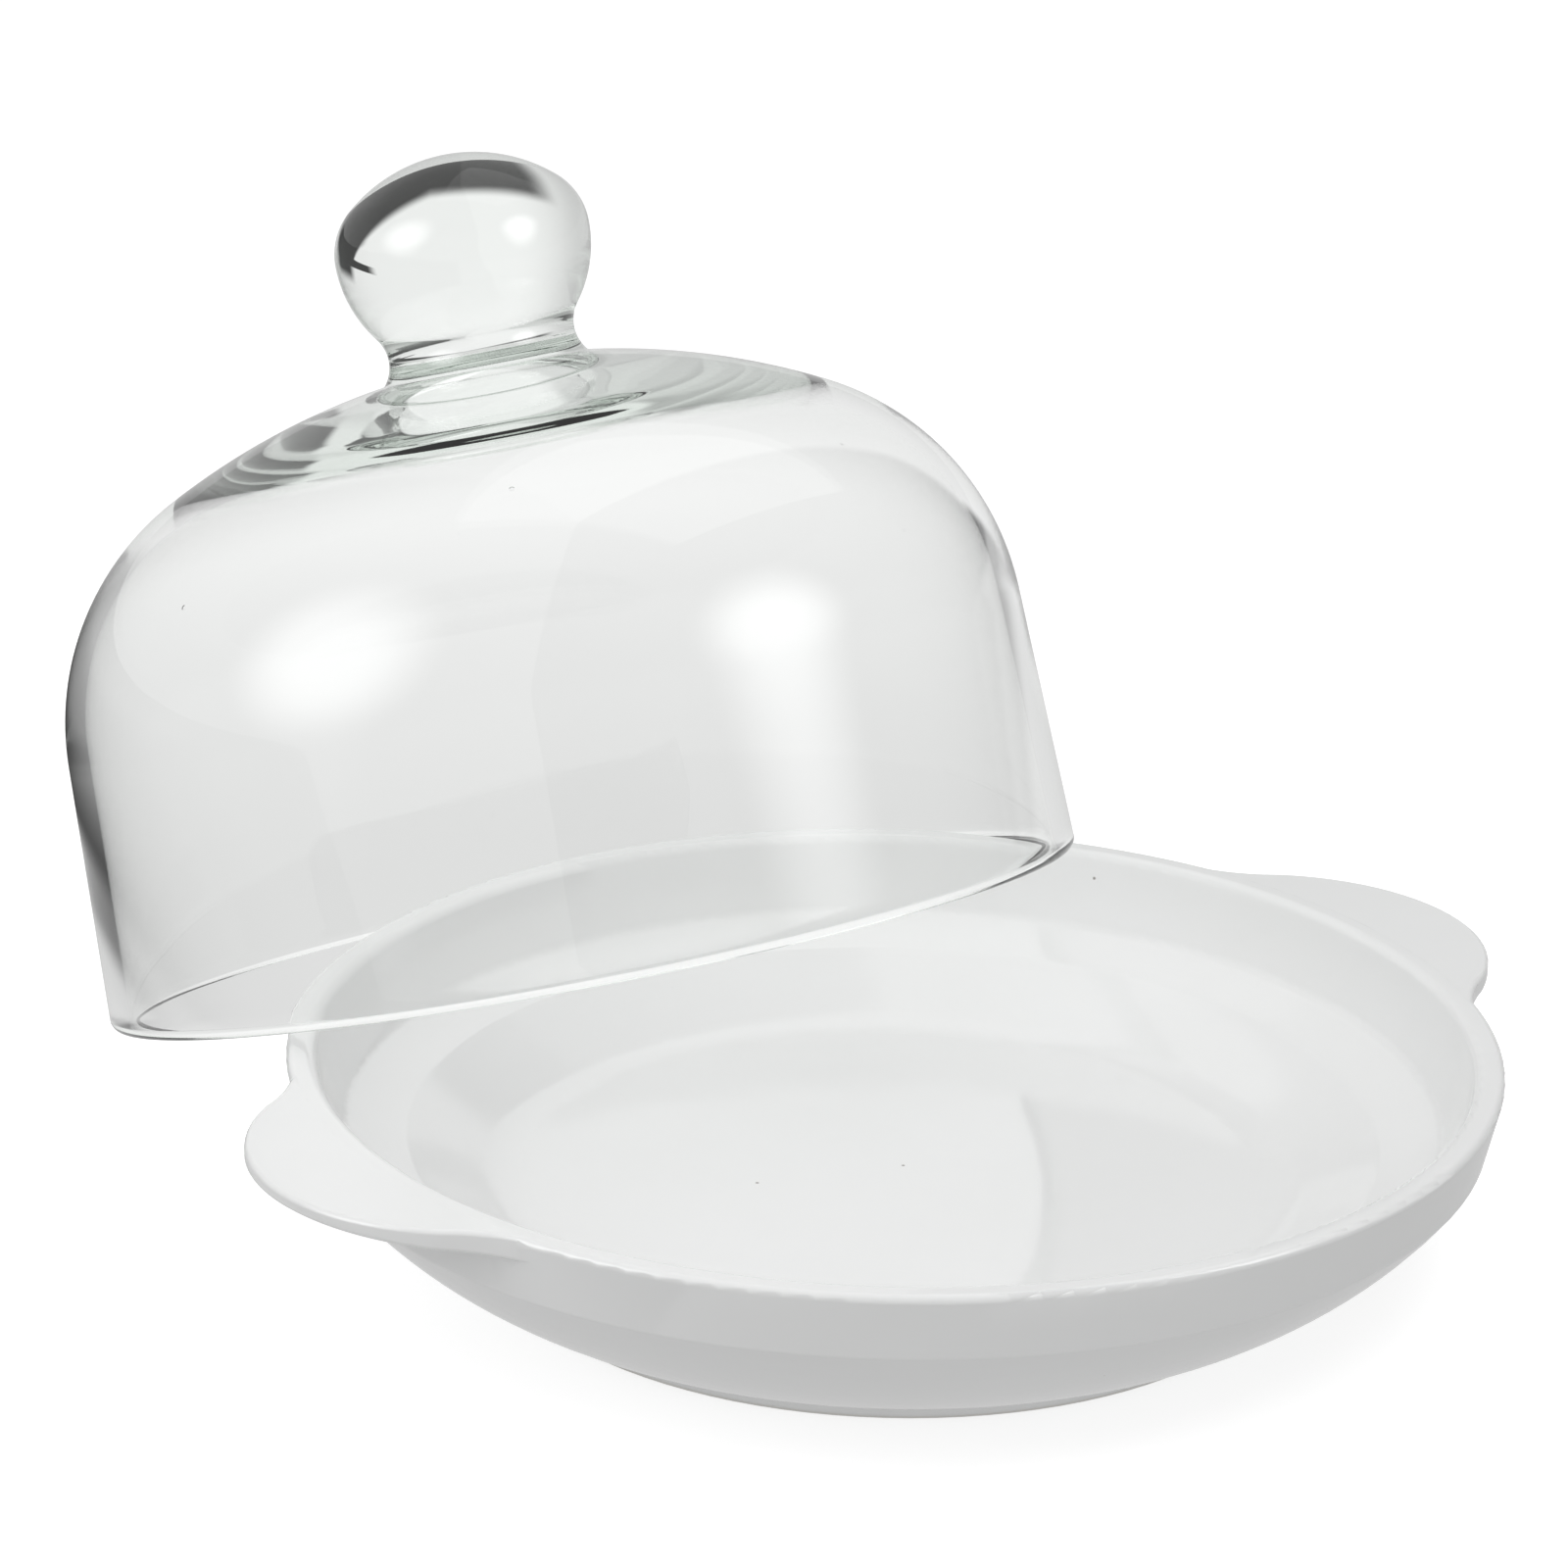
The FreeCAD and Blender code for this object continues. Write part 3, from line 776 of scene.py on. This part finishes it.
@dataclass(frozen=True)
class Surroundings:
    """What stands round the table for light that has passed the glass: pale sweeps and dark flags.

    A Fade gives where a soft change starts and where it ends. Turns are in degrees from straight
    behind the bell, right positive; reaches are distances from the bell; rises are the height of a
    direction, from 0 at the horizon to 1 overhead.
    """

    backdrop: float = 0.78
    hollow_rise: float = 0.20
    hollow_reach: Fade = (0.10, 0.50)
    under_reach: Fade = (0.135, 0.11)

    sweep: float = 0.95
    sweep_fall: float = 0.30
    sweep_turn: Fade = (-20.0, -60.0)

    dark: float = 0.93
    dark_from: Fade = (-45.0, -30.0)
    dark_until: Fade = (68.0, 58.0)
    table_depth: float = 0.27
    table_edge: Fade = (0.03, -0.03)
    flag_turn: Fade = (24.0, 30.0)
    flag_swing: float = 16.0
    flag_swing_out: Fade = (0.50, 1.40)
    flag_swing_back: Fade = (1.60, 2.20)
    far_flag_turn: Fade = (40.0, 46.0)
    far_flag_rise: Fade = (0.14, 0.02)
    roof_rise: Fade = (0.60, 0.80)

    screen: float = 0.07
    right_turn: Fade = (24.0, 28.0)
    right_near: float = 0.40
    right_near_reach: Fade = (0.62, 0.42)
    right_far: float = 0.33
    right_far_reach: Fade = (1.1, 0.8)

    left_turn: Fade = (-23.0, -28.0)
    left_foot: float = 0.06
    left_base: float = 0.60
    left_base_reach: Fade = (0.15, 0.13)
    left_middle: float = 0.38
    left_middle_reach: Fade = (0.17, 0.27)
    left_far: float = 0.25
    left_far_reach: Fade = (0.27, 0.60)
    left_wall: float = 0.75

    side_turn: Fade = (-23.0, -34.0)
    side_reach: Fade = (0.17, 0.20)
    side_dark: float = 0.57


class LightPaths:
    """Tells apart the ways in which light reached a point of the floor or the room."""

    HALF = 0.5
    HOLLOW = 3.5

    def __init__(self, graph: Graph) -> None:
        """Keep the graph in which the nodes are added."""
        self.graph = graph

    def read(self, output: str) -> Socket:
        """Return one output of a Light Path node."""
        return self.graph.node("ShaderNodeLightPath", output=output)

    def from_camera(self) -> Socket:
        """Return 1 for light that the camera sees directly."""
        return self.read("Is Camera Ray")

    def through_glass(self) -> Socket:
        """Return 1 for light that came through glass straight to the camera's line of sight."""
        scattered = self.read("Diffuse Depth").over(self.HALF)
        return self.read("Is Transmission Ray") * (1.0 - scattered)

    def through_solid(self) -> Socket:
        """Return 1 for light that came out of solid glass, such as the knob or the wall's edge.

        Light that crosses the hollow bell passes four surfaces; light from solid glass passes two.
        """
        hollow = self.read("Transmission Depth").over(self.HOLLOW)
        return self.through_glass() * (1.0 - hollow)

    def guided(self) -> Socket:
        """Return 1 for light that ran along inside the glass wall before it left."""
        return self.read("Glossy Depth").over(self.HALF)

    def mirrored(self) -> Socket:
        """Return 1 for light mirrored by an outer face straight to the camera's line of sight."""
        other = self.read("Transmission Depth").highest(self.read("Diffuse Depth"))
        return self.read("Is Glossy Ray") * (1.0 - other.over(self.HALF))


@dataclass
class Studio:
    """Floor, surrounding light, lamps, cards and camera.

    Azimuths are measured from the camera's own, so that lamps and cards turn with it.
    """

    azimuth: float = -34.5
    elevation: float = 24.61
    distance: float = 1.0
    aim: tuple[float, float, float] = (-17.46 * MM, 11.42 * MM, 88.42 * MM)
    roll: float = 0.949
    lens: float = 124.43
    sensor: float = 36.0
    floor_size: float = 12.0
    floor_cuts: int = 8
    floor_shade: float = 0.60
    floor_glow: float = 0.64
    far_glow: float = 0.6
    far_reach: Fade = (0.7, 2.5)
    floor_bounce: float = 0.62
    room_grey: float = 0.48
    ceiling_grey: float = 0.34
    ceiling_rise: Fade = (0.25, 0.60)
    target: tuple[float, float, float] = (0.0, 0.03, 0.06)
    bell_spot: Point = (-8.0 * MM, 92.0 * MM)
    bounces: int = 24
    around_glass: Surroundings = field(default_factory=Surroundings)

    def _turned(self, graph: Graph, vector: Socket, centre: Point) -> tuple[Socket, Socket]:
        """Measure a point from a centre, as the camera sees it.

        Args:
            graph: the node graph.
            vector: the point.
            centre: where to measure from.

        Returns:
            How far right and how far away the point lies.
        """
        turn = math.radians(-self.azimuth)
        x = graph.axis(vector, "X") - centre[0]
        y = graph.axis(vector, "Y") - centre[1]
        across = x * math.cos(turn) - y * math.sin(turn)
        away = x * math.sin(turn) + y * math.cos(turn)
        return across, away

    def _heading(self, graph: Graph, across: Socket, away: Socket) -> Socket:
        """Return a point's direction in radians: 0 straight behind the bell, right positive."""
        return graph.node("ShaderNodeMath", {"operation": "ARCTAN2"}, {0: across, 1: away})

    def _plain_level(self, turn: Socket, dark: Socket) -> Socket:
        """Return how bright the studio looks straight through solid glass.

        Args:
            turn: the direction of the point.
            dark: 1 where the table, a flag or the roof is dark.

        Returns:
            The level of a white sweep that greys leftwards and is dark in places.
        """
        near = self.around_glass
        return (near.sweep - turn.turned(near.sweep_turn) * near.sweep_fall) * \
            (1.0 - dark * near.dark)

    def _guided_level(self, turn: Socket, left_wall: Socket | float,
                      right_wall: Socket | float) -> Socket:
        """Return how bright the studio looks along the inside of the glass wall.

        Args:
            turn: the direction of the point.
            left_wall: how bright the left wall is.
            right_wall: how bright the right wall is.

        Returns:
            The level of a white sweep between two walls.
        """
        near = self.around_glass
        right = turn.turned(near.right_turn)
        left = turn.turned(near.left_turn)
        return near.sweep * (1.0 - right) * (1.0 - left) + right * right_wall + left * left_wall

    def _dark_directions(self, turn: Socket) -> Socket:
        """Return 1 in the directions behind the bell, where the studio's dark things stand."""
        near = self.around_glass
        return turn.turned(near.dark_from) * turn.turned(near.dark_until)

    def _floor_dark(self, turn: Socket, reach: Socket, across: Socket, away: Socket) -> Socket:
        """Return 1 where the floor is dark for light straight through solid glass.

        Args:
            turn: the direction of the point.
            reach: its distance from the bell.
            across: how far right it lies.
            away: how far away it lies.

        Returns:
            The dark share: a table behind the bell and a flag to its right.
        """
        near = self.around_glass
        swing = reach.faded(near.flag_swing_out) - reach.faded(near.flag_swing_back)
        flag = (turn - swing * math.radians(near.flag_swing)).turned(near.flag_turn)
        table = (away - (across.highest(0.0) + near.table_depth)).faded(near.table_edge)
        return flag.highest(table) * self._dark_directions(turn)

    def _floor_level(self, guided: Socket, turn: Socket, reach: Socket,
                     dark: Socket) -> Socket:
        """Return how bright the floor looks through solid glass.

        Args:
            guided: 1 for light that ran along inside the wall.
            turn: the direction of the point.
            reach: its distance from the bell.
            dark: 1 where the floor is dark.

        Returns:
            The level, which is the plain backdrop's under the bell.
        """
        near = self.around_glass
        left = reach.faded(near.left_base_reach) * near.left_base \
            + reach.faded(near.left_middle_reach) * near.left_middle \
            + reach.faded(near.left_far_reach) * near.left_far + near.left_foot
        right = reach.faded(near.right_near_reach) * near.right_near \
            + reach.faded(near.right_far_reach) * near.right_far + near.screen
        level = self._plain_level(turn, dark) * (1.0 - guided) \
            + self._guided_level(turn, left, right) * guided
        under = reach.faded(near.under_reach)
        return level * (1.0 - under) + under * near.backdrop

    def lay_floor(self) -> None:
        """Lay the pale floor, which keeps the shadow and stands in for the studio through glass."""
        start_clean()
        bpy.ops.mesh.primitive_grid_add(x_subdivisions=self.floor_cuts,
                                        y_subdivisions=self.floor_cuts,
                                        size=self.floor_size, location=(0, 0, 0))
        floor = bpy.context.object
        floor.name = "floor"
        material, graph = new_material("floor_paint")
        paths, near = LightPaths(graph), self.around_glass
        across, away = self._turned(graph, graph.place(), self.bell_spot)
        turn = self._heading(graph, across, away)
        reach = graph.node("ShaderNodeMath", {"operation": "SQRT"},
                           {0: across * across + away * away})

        paint = (self.floor_shade, self.floor_shade, self.floor_shade, 1.0)
        shade = graph.node("ShaderNodeBsdfDiffuse", inputs={"Color": paint})
        glow = graph.glow(reach.faded(self.far_reach) * self.far_glow + self.floor_glow)
        white = graph.node("ShaderNodeAddShader", inputs={0: shade, 1: glow})
        side = turn.turned(near.side_turn) * reach.faded(near.side_reach) * paths.mirrored()
        bounce = graph.glow(self.floor_bounce - side * near.side_dark)
        hollow = graph.glow(reach.faded(near.hollow_reach) * near.hollow_rise + near.backdrop)
        dark = self._floor_dark(turn, reach, across, away)
        solid = graph.glow(self._floor_level(paths.guided(), turn, reach, dark))

        seen = graph.choose(paths.from_camera(), bounce, white)
        seen = graph.choose(paths.through_glass(), seen, hollow)
        graph.finish(graph.choose(paths.through_solid(), seen, solid))
        floor.data.materials.append(material)

    def fill_world(self) -> None:
        """Surround the table with a soft grey room that the camera sees as white."""
        world = bpy.data.worlds.new("room")
        bpy.context.scene.world = world
        world.use_nodes = True
        graph = Graph(world.node_tree)
        paths, near = LightPaths(graph), self.around_glass
        direction = graph.node("ShaderNodeTexCoord", output="Generated")
        rise = graph.axis(direction, "Z")
        turn = self._heading(graph, *self._turned(graph, direction, (0.0, 0.0)))

        flag = turn.turned(near.far_flag_turn) * self._dark_directions(turn)
        dark = (flag * rise.faded(near.far_flag_rise)).highest(rise.faded(near.roof_rise))
        walled = self._guided_level(turn, near.left_wall, near.screen)
        guided = paths.guided()
        level = self._plain_level(turn, dark) * (1.0 - guided) + walled * guided
        solid = graph.blend(level, grey(0.0), grey(1.0))

        ceiling = rise.faded(self.ceiling_rise)
        room = graph.blend(ceiling, grey(self.room_grey), grey(self.ceiling_grey))
        room = graph.blend(paths.through_glass(), room, grey(near.backdrop + near.hollow_rise))
        room = graph.blend(paths.through_solid(), room, solid)
        colour = graph.blend(paths.from_camera(), room, grey(1.0))
        graph.finish(graph.node("ShaderNodeBackground", inputs={"Color": colour, "Strength": 1.0}))

    def hang_lamps(self) -> None:
        """Hang one soft lamp overhead that shows on the glass, and three fills that do not."""
        fill = LampUse.FILL
        for lamp in (
                SoftLamp("overhead", azimuth=160, elevation=68, distance=1.3, width=1.2,
                         height=1.2, power=1.6),
                SoftLamp("top_fill", azimuth=40, elevation=72, distance=1.4, width=1.3,
                         height=1.3, power=8.1, use=fill),
                SoftLamp("side_fill", azimuth=-75, elevation=36, distance=1.4, width=0.8,
                         height=0.8, power=3.8, use=fill),
                SoftLamp("front_fill", azimuth=-12, elevation=50, distance=1.6, width=1.8,
                         height=1.4, power=6.8, use=fill)):
            lamp.hang(Vector(self.target), self.azimuth)

    def stand_cards(self) -> None:
        """Stand the glowing cards that make the soft highlights on the glass and the glaze."""
        for card in (
                GlowCard("left_card", azimuth=-59, elevation=27, distance=1.1, width=1.15,
                         height=1.25, strength=4.4),
                GlowCard("right_card", azimuth=65, elevation=30, distance=1.1, width=0.95,
                         height=0.92, strength=5.0)):
            card.stand(Vector(self.target), self.azimuth)

    def set_camera(self) -> None:
        """Stand the camera in front of the table."""
        data = bpy.data.cameras.new("camera")
        data.lens = self.lens
        data.sensor_width = self.sensor
        camera = bpy.data.objects.new("camera", data)
        spot = around(self.azimuth, self.elevation) * self.distance
        facing = (Vector(self.aim) - spot).to_track_quat("-Z", "Y").to_matrix().to_4x4()
        roll = Matrix.Rotation(math.radians(self.roll), 4, "Z")
        camera.matrix_world = Matrix.Translation(spot) @ facing @ roll
        bpy.context.scene.collection.objects.link(camera)
        bpy.context.scene.camera = camera

    def let_light_run(self) -> None:
        """Let light bounce often enough to find its way out of the thick glass."""
        cycles = bpy.context.scene.cycles
        cycles.max_bounces = self.bounces
        cycles.glossy_bounces = self.bounces
        cycles.transmission_bounces = self.bounces

    def set_up(self) -> None:
        """Build the whole studio."""
        bpy.context.scene.view_settings.view_transform = "Standard"
        self.let_light_run()
        self.lay_floor()
        self.fill_world()
        self.hang_lamps()
        self.stand_cards()
        self.set_camera()


def main() -> None:
    """Build the dish, the glass and the studio in order."""
    logging.basicConfig(level=logging.INFO, format="%(name)s: %(message)s")
    for part in (PorcelainDish(), GlassDome()):
        part.build()
        part.dress()
        LOG.info("%s: %d faces", part.piece.name, len(part.piece.data.polygons))
    Studio().set_up()


if __name__ == "__main__":
    main()
